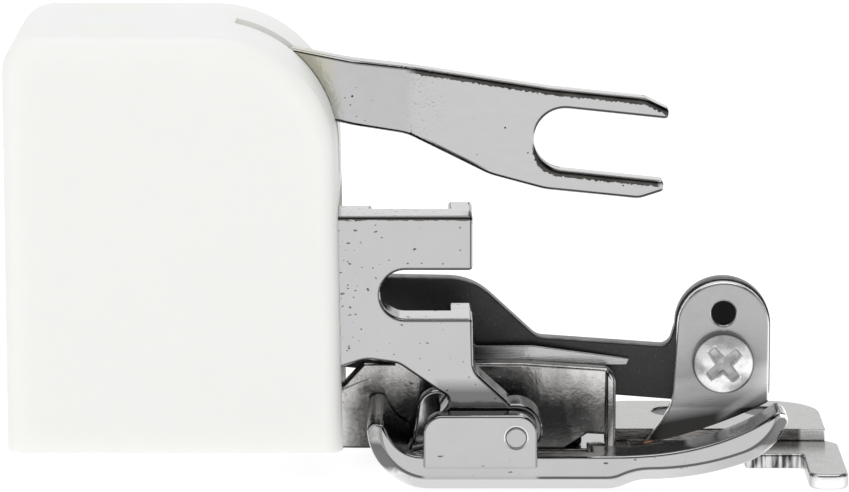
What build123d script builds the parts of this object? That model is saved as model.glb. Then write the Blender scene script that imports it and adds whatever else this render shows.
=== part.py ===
from build123d import *
import math
import os

# Side-cutter presser foot for a low-shank sewing machine.
# +X points to the front of the machine, +Y to its right and +Z up, in millimetres.
# The origin is the centre of the shank slot, on the shank's left face.

# Shank: the plate that the presser bar's clamp screw holds
SLOT_RADIUS = 1.9
SHANK_TOP = 6.15
SHANK_FRONT = 5.2
SHANK_PLATE = 3.5
CHANNEL_REAR = -2.56
CHANNEL_WIDTH = 5.88
CHANNEL_REAR_WALL = 4.8
CHANNEL_FRONT_WALL = 6.4
LUG_DROP = 5.0
EDGE_ROUND = 0.35

# Heights of the sole, the guide plate and the lower knife
SOLE_DROP = 15.06
GUIDE_BELOW_SOLE = 0.44
GUIDE_THICK = 1.2
LOWER_KNIFE_THICK = 1.0

# Presser sole and its pivot pin
SOLE_THICK = 2.82
SOLE_FLOOR = 1.5
SOLE_FRONT = 15.8
SOLE_WIDTH = 11.1
TOE_WIDTH = 4.0
TOE_TIP = 29.5
TOE_RISE = 5.6
TOE_LIFT = 0.75
TOE_THICK = 2.05
HEEL_REACH = 2.95
HEEL_RISE = 4.8
HEEL_THICK = 1.4
HEEL_RUN = 1.9
SOLE_BEVEL = 1.1
EAR_PROUD = 0.25
EAR_REAR = 1.4
EAR_FRONT = 10.2
EAR_RISE = 6.1
EAR_WALL = 1.9
FAR_EAR_WALL = 1.5
EAR_CORNER = 1.5
EAR_CLEARANCE = 0.6
FAR_EAR_REAR = 0.4
FAR_EAR_EXTRA = 0.7
FAR_EAR_SLOPE = 1.2
PIN_X = 8.55
PIN_RISE = 4.35
PIN_RADIUS = 0.78
RUNNING_CLEARANCE = 0.04
STEM_BOSS_RADIUS = 2.1
NEEDLE_NOTCH_REAR = 9.9
NEEDLE_NOTCH_LENGTH = 4.4

# Far leg of the frame, which carries the guide plate
LEG_NEAR = 9.0
LEG_WALL = 1.4
LEG_TOP = -7.35
LEG_FRONT = 16.65
LEG_NOSE_DROP = 0.5
LEG_NOSE_ROUND = 1.1
LEG_RELIEF = 1.2
LEG_POST = 0.85
LEG_POST_PROUD = 0.25
FOOT_REAR = -3.0
FOOT_FRONT = 14.0
FOOT_WIDTH = 5.1
FOOT_THICK = 1.6

# Cutting plane and knives
CUT_PLANE = 11.7
SHEAR_GAP = 0.03
UPPER_KNIFE_THICK = 1.0
UPPER_KNIFE_RADIUS = 3.65
UPPER_KNIFE_X = 25.2
UPPER_KNIFE_TOP_Z = -4.83
KNIFE_TIP = (18.9, -14.5)
KNIFE_HEEL_Z = -9.9
KNIFE_NOSE_Z = -10.9
KNIFE_EDGE_SAG = 0.45
HOLLOW_RADIUS = 9.0
HOLLOW_DEPTH = 0.6
DOWEL_RISE = 1.13
DOWEL_RADIUS = 0.95
DOWEL_RECESS = 0.35
KNIFE_SCREW_DROP = 2.77
KNIFE_SCREW_HEAD = 2.45
KNIFE_SCREW_HEIGHT = 1.5
KNIFE_SCREW_RADIUS = 1.25
RECESS_REACH = 1.5
RECESS_WIDTH = 0.6
RECESS_DEPTH = 0.8
RECESS_TURN = 35
LOWER_KNIFE_REAR = 16.5
LOWER_KNIFE_FRONT = 33.5
LOWER_KNIFE_WIDTH = 10.2
LOWER_KNIFE_CORNER = 4.2

# Guide plate
GUIDE_REAR = -2.0
GUIDE_FRONT = 34.45
GUIDE_NEAR = 7.2
GUIDE_BRIDGE_X = 26.8
GUIDE_FINGER_X = 20.4
GUIDE_FINGER_NEAR = 7.9
KNIFE_SIDE_GAP = 0.3
TONGUE_WIDTH = 3.05
TONGUE_NEAR = 0.2
GUIDE_CORNER = 1.2

# Crank: the fork lever, its shaft and the eccentric pin that works the knife arm
CRANK_X = -12.5
CRANK_Z = 13.5
CRANK_THROW = 1.0
CRANK_RADIUS = 2.0
CRANK_PIN_RADIUS = 0.9
CRANK_PIN_CLEARANCE = 0.08
CRANK_BOSS_RADIUS = 4.1
CLIP_POCKET_RADIUS = 3.4
CLIP_POCKET_DEPTH = 1.5
LEVER_THICK = 2.0
LEVER_NEAR = 7.6
FORK_NEAR = 10.0
LEVER_HUB_RADIUS = 3.0
LEVER_BEND_REAR = -4.2
LEVER_BEND_FRONT = 0.3
LEVER_BEND_RADIUS = 2.2
FORK_X = 12.55
FORK_Z = 10.37
FORK_RADIUS = 2.45
FORK_TILT = 6.0
FORK_TIP = 20.7
TINE_WIDTH = 1.9
LOWER_TINE_SETBACK = 0.4
LEVER_SHOULDER = (-8.8, 18.0)
LEVER_BACK = (0.25, 16.2)
LEVER_THROAT = (6.6, 7.57)
LEVER_BELLY = (0.0, 10.87)
LEVER_NECK = (-5.7, 12.3)
LEVER_CORNER = 5.0
TINE_POINT = 1.9
AXIAL_GAP = 0.1

# Knife arm and its pivot
PIVOT_DROP = 19.0
PIVOT_RADIUS = 1.5
ARM_THICK = 1.5
ARM_HUB_RADIUS = 3.2
ARM_UPRIGHT = 5.0
ARM_LUG_RADIUS = 3.8
ARM_LUG_DROP = 6.1
PIVOT_BOSS_RADIUS = 3.4

# Pressure spring that holds the upper knife against the lower one
SPRING_THICK = 0.4
SPRING_ROOT_REAR = -0.6
SPRING_BEND_X = 9.6
SPRING_TIP = 17.9
SPRING_HEIGHT = 1.55
SPRING_TOP = -6.25
SPRING_SCREW_X = 2.2
SPRING_SCREW_RADIUS = 0.8
SPRING_SCREW_HEAD = 1.5
SPRING_SCREW_HEIGHT = 0.6

# Moulded cover
COVER_REAR = -30.7
COVER_FRONT = -4.8
COVER_BOTTOM = -12.1
COVER_TOP = 20.26
COVER_DEPTH = 20.0
COVER_WALL = 1.5
COVER_GAP = 0.2
COVER_REAR_ROUND = 2.8
COVER_FRONT_ROUND = 10.0
COVER_DRAFT = 0.6
COVER_EDGE_ROUND = 1.4
LEVER_SLOT_WIDTH = 2.8
LEVER_SLOT_REAR = -13.2
LEVER_SLOT_BOTTOM = 7.9
COVER_POST_X = -23.0
COVER_POST_RADIUS = 2.4
COVER_POST_INSET = 3.3
FLOOR_THICK = 1.2
FRAME_REACH = 5.0
BASE_THICK = 1.2
BASE_SETBACK = 3.5
BASE_CORNER = 1.5
RIVET_LENGTH = 2.6
RIVET_WIDTH = 1.6
COVER_SCREW_RADIUS = 1.0
COVER_SCREW_HEAD = 1.9
COVER_SCREW_REACH = 5.0

# Small screws that hold the guide plate and the lower knife
PLATE_SCREW_RADIUS = 0.9
PLATE_SCREW_HEAD = 1.7
GUIDE_SCREW_X = (2.0, 11.0)
LOWER_KNIFE_SCREW_X = (21.6, 29.0)
LOWER_KNIFE_SCREW_INSET = 3.8
SCREW_RECESS = 0.15

# Retaining clips
CLIP_THICK = 0.5
CLIP_RIM = 1.2
GROOVE_DEPTH = 0.35

# Places worked out from the sizes above
sole_bottom = -SOLE_DROP
sole_near = -(EAR_CLEARANCE + EAR_WALL)
sole_far = sole_near + SOLE_WIDTH
sole_top = sole_bottom + SOLE_THICK
pin_z = sole_bottom + PIN_RISE
far_ear_near = SHANK_PLATE + EAR_CLEARANCE
far_ear_far = far_ear_near + FAR_EAR_WALL
guide_bottom = sole_bottom - GUIDE_BELOW_SOLE
guide_top = guide_bottom + GUIDE_THICK
lower_knife_top = guide_top + LOWER_KNIFE_THICK
leg_far = LEG_NEAR + LEG_WALL
foot_far = leg_far + FOOT_WIDTH
foot_top = guide_top + FOOT_THICK
arm_far = CUT_PLANE + ARM_THICK
pivot_z = CRANK_Z - PIVOT_DROP
cover_near = -(COVER_GAP + COVER_WALL)
cover_far = cover_near + COVER_DEPTH
inner_near = cover_near + COVER_WALL
inner_far = cover_far - COVER_WALL
base_top = COVER_BOTTOM + BASE_THICK
floor_top = base_top + FLOOR_THICK
base_rear = COVER_REAR + COVER_WALL + COVER_GAP
base_front = COVER_FRONT - BASE_SETBACK
frame_rear = CRANK_X - FRAME_REACH
floor_far = inner_far - COVER_GAP
crank_boss_end = LEVER_NEAR - AXIAL_GAP
pivot_boss_end = CUT_PLANE - AXIAL_GAP
channel_front = CHANNEL_REAR + CHANNEL_WIDTH
lower_knife_near = CUT_PLANE + SHEAR_GAP
lower_knife_far = lower_knife_near + LOWER_KNIFE_WIDTH


def side_slab(outline, near, far):
    """Extrudes an outline drawn in X and Z from Y = near to Y = far."""
    plane = Plane(origin=(0, near, 0), x_dir=(1, 0, 0), z_dir=(0, -1, 0))
    return extrude(plane * outline, amount=far - near, dir=(0, 1, 0))


def plan_slab(outline, low, high):
    """Extrudes an outline drawn in X and Y from Z = low to Z = high."""
    return extrude(Plane.XY.offset(low) * outline, amount=high - low)


def rounded(corners):
    """Closed outline through (x, y, corner radius) corners."""
    points = [(x, y) for x, y, _ in corners]
    return make_face(FilletPolyline(*points, radius=[r for _, _, r in corners], close=True))


def disc(x, z, radius):
    return Pos(x, z) * Circle(radius)


def cross_rod(x, z, radius, near, far):
    """Round rod along Y."""
    return side_slab(disc(x, z, radius), near, far)


def upright_rod(x, y, radius, low, high):
    """Round rod along Z."""
    return plan_slab(Pos(x, y) * Circle(radius), low, high)


def block(x0, x1, y0, y1, z0, z1):
    return Pos((x0 + x1) / 2, (y0 + y1) / 2, (z0 + z1) / 2) * Box(x1 - x0, y1 - y0, z1 - z0)


def flat_screw(radius, head_radius, length):
    """Countersunk screw along -Z with its flat head at Z = 0."""
    head = head_radius - radius
    profile = Polyline((0, 0), (head_radius, 0), (radius, -head), (radius, -length), (0, -length), close=True)
    return revolve(Plane.XZ * make_face(profile), Axis.Z)


def pan_screw(radius, head_radius, head_height, length):
    """Pan-head screw along -Z with the head's seat at Z = 0."""
    rim = head_height * 0.45
    dome = head_height - rim
    crown = (head_radius ** 2 + dome ** 2) / (2 * dome)
    middle = head_height - crown + math.sqrt(crown ** 2 - head_radius ** 2 / 4)
    outline = [
        Line((0, head_height), (0, -length)),
        Line((0, -length), (radius, -length)),
        Line((radius, -length), (radius, 0)),
        Line((radius, 0), (head_radius, 0)),
        Line((head_radius, 0), (head_radius, rim)),
        ThreePointArc((head_radius, rim), (head_radius / 2, middle), (0, head_height)),
    ]
    return revolve(Plane.XZ * make_face(outline), Axis.Z)


def retaining_clip(x, z, shaft_radius, near):
    """E-shaped clip in a shaft groove, open downwards."""
    ring = disc(x, z, shaft_radius + CLIP_RIM) - disc(x, z, shaft_radius - GROOVE_DEPTH)
    mouth = Pos(x, z - shaft_radius - CLIP_RIM) * Rectangle(
        2 * (shaft_radius - GROOVE_DEPTH), 2 * (shaft_radius + CLIP_RIM))
    return side_slab(ring - mouth, near, near + CLIP_THICK)


# Main frame: one die casting with the shank plate, the stem down to the sole's pin,
# the floor inside the cover and the far leg beside the needle
def shank_outline():
    stem_front = SHANK_FRONT + 0.1
    boss_left = PIN_X - STEM_BOSS_RADIUS * 0.6
    boss_bottom = pin_z - STEM_BOSS_RADIUS * 0.8
    return rounded([
        (frame_rear, base_top, 0),
        (frame_rear, 4.0, 2.0),
        (CRANK_X - CRANK_BOSS_RADIUS, CRANK_Z, 0),
        (CRANK_X + CRANK_BOSS_RADIUS, CRANK_Z, 0),
        (COVER_FRONT - 2.6, SHANK_TOP, 0.6),
        (SHANK_FRONT, SHANK_TOP, EDGE_ROUND),
        (SHANK_FRONT, -SLOT_RADIUS, 0),
        (stem_front, -6.0, 1.6),
        (PIN_X - 0.4, pin_z + STEM_BOSS_RADIUS, 1.2),
        (PIN_X, pin_z, 0),
        (boss_left, boss_bottom, 0),
        (2.5, -9.7, 0.4),
        (3.6, -8.3, 0.6),
        (-0.5, -5.45, 1.6),
        (-3.0, -5.1, 2.5),
        (COVER_FRONT, -5.7, 0.8),
        (COVER_FRONT - 2.0, -6.8, 0.6),
        (COVER_FRONT - 2.0, base_top, 0),
    ]) + disc(PIN_X, pin_z, STEM_BOSS_RADIUS) + disc(CRANK_X, CRANK_Z, CRANK_BOSS_RADIUS)


def leg_outline():
    relief_front = LEG_FRONT - LEG_POST
    return rounded([
        (COVER_FRONT - 3.2, COVER_BOTTOM, 0),
        (COVER_FRONT - 0.4, guide_top, 0),
        (relief_front - 3.2, guide_top, 0),
        (relief_front - 1.4, guide_top + LEG_RELIEF, 0.2),
        (relief_front, guide_top + LEG_RELIEF, 0.2),
        (relief_front, guide_top, 0),
        (LEG_FRONT, guide_top, 0),
        (LEG_FRONT, LEG_TOP - LEG_NOSE_DROP, LEG_NOSE_ROUND),
        (LEG_FRONT - 7.4, LEG_TOP, 3.0),
        (COVER_FRONT + 1.45, LEG_TOP, 0.3),
        (COVER_FRONT - 0.2, LEG_TOP - 1.75, 0.3),
        (COVER_FRONT - 3.2, LEG_TOP - 1.75, 0),
    ])


def main_frame():
    outline = shank_outline()
    frame = side_slab(outline, 0, SHANK_PLATE)
    behind = Pos(CHANNEL_REAR - 20, 0) * Rectangle(40, 60)
    frame += side_slab(outline & behind, 0, CHANNEL_REAR_WALL)
    lug = Pos((channel_front + SHANK_FRONT) / 2, (SHANK_TOP - LUG_DROP) / 2) * Rectangle(
        SHANK_FRONT - channel_front, SHANK_TOP + LUG_DROP)
    frame += side_slab(outline & lug, 0, CHANNEL_FRONT_WALL)
    frame += cross_rod(CRANK_X, CRANK_Z, CRANK_RADIUS + 1.4, 0, crank_boss_end)

    slot = Circle(SLOT_RADIUS) + Pos(SHANK_FRONT, 0) * Rectangle(2 * SHANK_FRONT, 2 * SLOT_RADIUS)
    frame -= side_slab(slot, -1, CHANNEL_FRONT_WALL + 1)

    frame += block(frame_rear, COVER_FRONT - 0.4, 0, floor_far, base_top, floor_top)
    for rivet in base_rivets():
        frame += rivet
    leg = leg_outline()
    frame += side_slab(leg, LEG_NEAR, leg_far)
    post = Pos(LEG_FRONT, LEG_TOP) * Rectangle(2 * LEG_POST, 2 * (LEG_TOP - guide_top))
    frame += side_slab(leg & post, LEG_NEAR - LEG_POST_PROUD, LEG_NEAR)
    spring_seat = rounded([
        (SPRING_ROOT_REAR - 0.4, LEG_TOP - 1.0, 0),
        (SPRING_ROOT_REAR - 0.4, SPRING_TOP + 1.3, 0.8),
        (2 * SPRING_SCREW_X - SPRING_ROOT_REAR + 0.4, SPRING_TOP + 1.3, 0.8),
        (2 * SPRING_SCREW_X - SPRING_ROOT_REAR + 0.4, LEG_TOP - 1.0, 0),
    ])
    frame += side_slab(spring_seat, LEG_NEAR, leg_far)
    pivot_wall = rounded([
        (frame_rear, floor_top - 0.5, 0),
        (CRANK_X - PIVOT_BOSS_RADIUS, pivot_z, 0),
        (CRANK_X + PIVOT_BOSS_RADIUS, pivot_z, 0),
        (CRANK_X + FRAME_REACH, floor_top - 0.5, 0),
    ]) + disc(CRANK_X, pivot_z, PIVOT_BOSS_RADIUS)
    frame += side_slab(pivot_wall, LEG_NEAR, leg_far)
    frame += cross_rod(CRANK_X, pivot_z, PIVOT_BOSS_RADIUS, LEG_NEAR, pivot_boss_end)
    frame += block(FOOT_REAR, FOOT_FRONT, leg_far - 0.2, foot_far, guide_top, foot_top)

    frame -= cross_rod(CRANK_X, CRANK_Z, CRANK_RADIUS + RUNNING_CLEARANCE, -1, crank_boss_end + 1)
    frame -= cross_rod(CRANK_X, CRANK_Z, CLIP_POCKET_RADIUS, -1, CLIP_POCKET_DEPTH)
    frame -= cross_rod(CRANK_X, pivot_z, PIVOT_RADIUS, LEG_NEAR - 1, pivot_boss_end + 1)
    frame -= cross_rod(PIN_X, pin_z, PIN_RADIUS + RUNNING_CLEARANCE, -1, SHANK_PLATE + 1)
    frame -= cross_rod(SPRING_SCREW_X, spring_screw_z(), SPRING_SCREW_RADIUS, LEG_NEAR - 1, leg_far + 1)
    for x in GUIDE_SCREW_X:
        frame -= upright_rod(x, guide_screw_y(), PLATE_SCREW_RADIUS, guide_top - 1, foot_top + 1)
    return frame


def base_rivets():
    """Cast lugs that pass through the base plate and are riveted over."""
    return [block(CRANK_X - RIVET_LENGTH / 2, CRANK_X + RIVET_LENGTH / 2, y - RIVET_WIDTH / 2,
                  y + RIVET_WIDTH / 2, COVER_BOTTOM, floor_top)
            for y in ((CHANNEL_REAR_WALL + LEG_NEAR) / 2, (leg_far + floor_far) / 2)]


# Base plate: a stamped plate riveted under the frame's floor, which carries the cover's screws
def base_plate():
    plate = plan_slab(rounded([
        (base_rear, 0, BASE_CORNER),
        (base_front, 0, 0),
        (base_front, floor_far, 0),
        (base_rear, floor_far, BASE_CORNER),
    ]), COVER_BOTTOM, base_top)
    for rivet in base_rivets():
        plate -= rivet
    for y in cover_post_rows():
        plate -= cover_screw(y)
    return plate


def spring_screw_z():
    return SPRING_TOP - SPRING_HEIGHT / 2 + 0.3


def guide_screw_y():
    return (leg_far + foot_far) / 2


def cover_post_rows():
    return inner_near + COVER_POST_INSET, inner_far - COVER_POST_INSET


# Moulded cover: an open-bottomed shell with the lever's slot over its front corner
def cover_outline(bottom):
    return rounded([
        (COVER_REAR, bottom, 0),
        (COVER_REAR, COVER_TOP, COVER_REAR_ROUND),
        (COVER_FRONT - COVER_DRAFT, COVER_TOP, COVER_FRONT_ROUND),
        (COVER_FRONT, bottom, 0),
    ])


def cover_shell():
    shell = side_slab(cover_outline(COVER_BOTTOM), cover_near, cover_far)
    rims = shell.edges().filter_by(lambda e: abs(e.center().Y - cover_near) < 0.01
                                   or abs(e.center().Y - cover_far) < 0.01)
    rims = rims.filter_by(lambda e: e.center().Z > COVER_BOTTOM + 0.1)
    shell = fillet(rims, COVER_EDGE_ROUND)
    cavity = offset(cover_outline(COVER_BOTTOM - 4 * COVER_WALL), -COVER_WALL)
    shell -= side_slab(cavity, inner_near, inner_far)
    shell -= block(COVER_FRONT - 2 * COVER_WALL - COVER_DRAFT, COVER_FRONT + 1, inner_near, inner_far,
                   COVER_BOTTOM - 1, SHANK_TOP + COVER_GAP)
    slot_middle = LEVER_NEAR + LEVER_THICK / 2
    shell -= block(LEVER_SLOT_REAR, COVER_FRONT + 1, slot_middle - LEVER_SLOT_WIDTH / 2,
                   slot_middle + LEVER_SLOT_WIDTH / 2, LEVER_SLOT_BOTTOM, COVER_TOP + 1)
    for y in cover_post_rows():
        shell += upright_rod(COVER_POST_X, y, COVER_POST_RADIUS, base_top, COVER_TOP - COVER_WALL / 2)
        shell -= upright_rod(COVER_POST_X, y, COVER_SCREW_RADIUS, base_top - 1,
                             base_top + COVER_SCREW_REACH)
    return shell


def cover_screw(y):
    screw = flat_screw(COVER_SCREW_RADIUS, COVER_SCREW_HEAD, BASE_THICK + COVER_SCREW_REACH)
    return Pos(COVER_POST_X, y, COVER_BOTTOM) * Rot(180, 0, 0) * screw


def cover_screws():
    return Compound(children=[cover_screw(y) for y in cover_post_rows()])


# Fork lever: a stamped and bent plate that straddles the needle clamp's screw
def fork_lever():
    slope = math.tan(math.radians(FORK_TILT))
    reach = FORK_TIP - FORK_X
    lower_tip = FORK_TIP - LOWER_TINE_SETBACK
    half = FORK_RADIUS / math.cos(math.radians(FORK_TILT))
    upper = FORK_Z + half
    lower = FORK_Z - half
    outline = rounded([
        (CRANK_X, CRANK_Z + LEVER_HUB_RADIUS * 0.98, 0),
        (*LEVER_SHOULDER, LEVER_CORNER / 5),
        (*LEVER_BACK, LEVER_CORNER),
        (FORK_X - FORK_RADIUS / 2, upper + TINE_WIDTH * 0.86, LEVER_CORNER),
        (FORK_TIP - TINE_POINT, upper - slope * (reach - TINE_POINT) + TINE_WIDTH * 0.8, TINE_WIDTH),
        (FORK_TIP, upper - slope * reach + TINE_WIDTH * 0.42, TINE_WIDTH / 5),
        (lower_tip, lower - slope * reach - TINE_WIDTH * 0.42, TINE_WIDTH / 5),
        (lower_tip - TINE_POINT, lower - slope * (reach - TINE_POINT) - TINE_WIDTH * 0.85, TINE_WIDTH),
        (FORK_X - FORK_RADIUS * 0.65, lower - TINE_WIDTH * 0.8, LEVER_CORNER),
        (*LEVER_THROAT, LEVER_CORNER),
        (*LEVER_BELLY, LEVER_CORNER),
        (*LEVER_NECK, LEVER_CORNER / 2),
        (CRANK_X + LEVER_HUB_RADIUS * 0.53, CRANK_Z - LEVER_HUB_RADIUS * 0.85, 0),
        (CRANK_X, CRANK_Z, 0),
    ]) + disc(CRANK_X, CRANK_Z, LEVER_HUB_RADIUS)
    mouth = Pos(FORK_X, FORK_Z) * Rot(0, 0, -FORK_TILT) * (
        Circle(FORK_RADIUS) + Pos(FORK_TIP / 2, 0) * Rectangle(FORK_TIP, 2 * FORK_RADIUS))
    outline = outline - mouth - disc(CRANK_X, CRANK_Z, CRANK_RADIUS)
    middle = LEVER_THICK / 2
    path = FilletPolyline(
        (CRANK_X - 2 * LEVER_HUB_RADIUS, LEVER_NEAR + middle),
        (LEVER_BEND_REAR, LEVER_NEAR + middle),
        (LEVER_BEND_FRONT, FORK_NEAR + middle),
        (FORK_TIP + 2, FORK_NEAR + middle),
        radius=LEVER_BEND_RADIUS)
    sheet = plan_slab(trace(path, LEVER_THICK), FORK_Z - 12, CRANK_Z + 12)
    return side_slab(outline, LEVER_NEAR - 5, FORK_NEAR + 10) & sheet


def crank_shaft():
    end = LEVER_NEAR + LEVER_THICK
    groove = CLIP_POCKET_DEPTH - CLIP_THICK - AXIAL_GAP
    shaft = cross_rod(CRANK_X, CRANK_Z, CRANK_RADIUS, 0.3, end)
    ring = disc(CRANK_X, CRANK_Z, CRANK_RADIUS + 1) - disc(CRANK_X, CRANK_Z, CRANK_RADIUS - GROOVE_DEPTH)
    shaft -= side_slab(ring, groove, groove + CLIP_THICK)
    return shaft + cross_rod(CRANK_X, CRANK_Z + CRANK_THROW, CRANK_PIN_RADIUS, end, arm_far + 0.2)


def crank_clip():
    return retaining_clip(CRANK_X, CRANK_Z, CRANK_RADIUS, CLIP_POCKET_DEPTH - CLIP_THICK - AXIAL_GAP)


# Knife arm: a blackened plate that rocks on its pivot and carries the upper knife at its front lug
def knife_arm():
    lug_x = UPPER_KNIFE_X
    lug_z = UPPER_KNIFE_TOP_Z
    half = ARM_UPRIGHT / 2
    top = CRANK_Z + CRANK_THROW
    outline = rounded([
        (CRANK_X - half, top, 0),
        (CRANK_X - half, pivot_z, 0),
        (CRANK_X, pivot_z - ARM_HUB_RADIUS + 0.05, 0),
        (COVER_FRONT, -8.3, 0),
        (LEG_FRONT, -10.55, 2.0),
        (lug_x - ARM_LUG_RADIUS, lug_z - ARM_LUG_DROP, 0),
        (lug_x + ARM_LUG_RADIUS, lug_z - ARM_LUG_DROP, 0.8),
        (lug_x + ARM_LUG_RADIUS, lug_z, 0),
        (lug_x - ARM_LUG_RADIUS, lug_z, 0),
        (lug_x - ARM_LUG_RADIUS - 0.5, -6.55, 0.9),
        (10.4, -5.8, 1.4),
        (5.3, -1.05, 5.0),
        (CRANK_X + half, -0.75, 1.5),
        (CRANK_X + half, top, 0),
    ])
    outline = outline + disc(CRANK_X, top, half) + disc(CRANK_X, pivot_z, ARM_HUB_RADIUS)
    outline = outline + disc(lug_x, lug_z, ARM_LUG_RADIUS)
    drive_slot = Pos(CRANK_X, top) * Rot(0, 0, 90) * SlotCenterToCenter(
        CRANK_THROW, 2 * (CRANK_PIN_RADIUS + CRANK_PIN_CLEARANCE))
    outline = outline - drive_slot - disc(CRANK_X, pivot_z, PIVOT_RADIUS + RUNNING_CLEARANCE)
    outline = outline - disc(lug_x, dowel_z(), DOWEL_RADIUS) - disc(lug_x, knife_screw_z(), KNIFE_SCREW_RADIUS)
    return side_slab(outline, CUT_PLANE, arm_far)


def dowel_z():
    return UPPER_KNIFE_TOP_Z + DOWEL_RISE


def knife_screw_z():
    return UPPER_KNIFE_TOP_Z - KNIFE_SCREW_DROP


def knife_pivot():
    groove = arm_far + AXIAL_GAP
    pin = cross_rod(CRANK_X, pivot_z, PIVOT_RADIUS, LEG_NEAR, groove + 2 * CLIP_THICK)
    ring = disc(CRANK_X, pivot_z, PIVOT_RADIUS + 1) - disc(CRANK_X, pivot_z, PIVOT_RADIUS - GROOVE_DEPTH)
    return pin - side_slab(ring, groove, groove + CLIP_THICK)


def knife_clip():
    return retaining_clip(CRANK_X, pivot_z, PIVOT_RADIUS, arm_far + AXIAL_GAP)


# Upper knife: a ground plate with a round top, a hollow-ground face and a curved cutting edge
def upper_knife():
    left = UPPER_KNIFE_X - UPPER_KNIFE_RADIUS
    right = UPPER_KNIFE_X + UPPER_KNIFE_RADIUS
    tip_x, tip_z = KNIFE_TIP
    middle = ((tip_x + right) / 2, (tip_z + KNIFE_NOSE_Z) / 2 - KNIFE_EDGE_SAG)
    outline = make_face([
        ThreePointArc((left, UPPER_KNIFE_TOP_Z), (UPPER_KNIFE_X, UPPER_KNIFE_TOP_Z + UPPER_KNIFE_RADIUS),
                      (right, UPPER_KNIFE_TOP_Z)),
        Line((right, UPPER_KNIFE_TOP_Z), (right, KNIFE_NOSE_Z)),
        ThreePointArc((right, KNIFE_NOSE_Z), middle, (tip_x, tip_z)),
        Spline((tip_x, tip_z), (left - 0.3, KNIFE_HEEL_Z), tangents=[(0.6, 1), (0.05, 1)]),
        Line((left - 0.3, KNIFE_HEEL_Z), (left, UPPER_KNIFE_TOP_Z)),
    ])
    outline = outline - disc(UPPER_KNIFE_X, dowel_z(), DOWEL_RADIUS)
    outline = outline - disc(UPPER_KNIFE_X, knife_screw_z(), KNIFE_SCREW_RADIUS)
    near = CUT_PLANE - UPPER_KNIFE_THICK
    blade = side_slab(outline, near, CUT_PLANE)
    grind = Pos(UPPER_KNIFE_X, near - HOLLOW_RADIUS + HOLLOW_DEPTH, tip_z) * Rot(0, 90, 0) * Cylinder(
        HOLLOW_RADIUS, 40)
    return blade - grind


def knife_dowel():
    return cross_rod(UPPER_KNIFE_X, dowel_z(), DOWEL_RADIUS,
                     CUT_PLANE - UPPER_KNIFE_THICK + DOWEL_RECESS, arm_far)


def knife_screw():
    screw = pan_screw(KNIFE_SCREW_RADIUS, KNIFE_SCREW_HEAD, KNIFE_SCREW_HEIGHT, UPPER_KNIFE_THICK + ARM_THICK)
    for turn in (RECESS_TURN, RECESS_TURN + 90):
        screw -= Rot(0, 0, turn) * Pos(0, 0, KNIFE_SCREW_HEIGHT) * Box(
            2 * RECESS_REACH, RECESS_WIDTH, 2 * RECESS_DEPTH)
    seat = CUT_PLANE - UPPER_KNIFE_THICK
    return Pos(UPPER_KNIFE_X, seat, knife_screw_z()) * Rot(90, 0, 0) * screw


# Pressure spring: a flat tapered strip, bent so that its tip leans on the knife arm
def pressure_spring():
    root_front = 2 * SPRING_SCREW_X - SPRING_ROOT_REAR
    bottom = SPRING_TOP - SPRING_HEIGHT
    outline = rounded([
        (SPRING_ROOT_REAR, bottom - 0.2, 0.6),
        (SPRING_ROOT_REAR, SPRING_TOP + 0.9, 0.6),
        (root_front, SPRING_TOP + 0.9, 0.4),
        (root_front + 0.6, SPRING_TOP, 0.4),
        (SPRING_BEND_X + 0.4, SPRING_TOP, 2.0),
        (SPRING_TIP, SPRING_TOP - 1.15, 0.15),
        (SPRING_TIP - 0.3, bottom - 0.2, 0.15),
        (root_front + 0.6, bottom - 0.05, 0.5),
    ])
    outline = outline - disc(SPRING_SCREW_X, spring_screw_z(), SPRING_SCREW_RADIUS)
    middle = SPRING_THICK / 2
    path = FilletPolyline(
        (SPRING_ROOT_REAR - 1, leg_far + middle),
        (SPRING_BEND_X, leg_far + middle),
        (SPRING_TIP, CUT_PLANE - SHEAR_GAP - middle),
        radius=3.0)
    sheet = plan_slab(trace(path, SPRING_THICK), bottom - 3, SPRING_TOP + 3)
    return side_slab(outline, leg_far - 1, CUT_PLANE) & sheet


def spring_screw():
    seat = leg_far + SPRING_THICK
    shank = cross_rod(SPRING_SCREW_X, spring_screw_z(), SPRING_SCREW_RADIUS, LEG_NEAR, seat)
    return shank + cross_rod(SPRING_SCREW_X, spring_screw_z(), SPRING_SCREW_HEAD, seat,
                             seat + SPRING_SCREW_HEIGHT)


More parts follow.
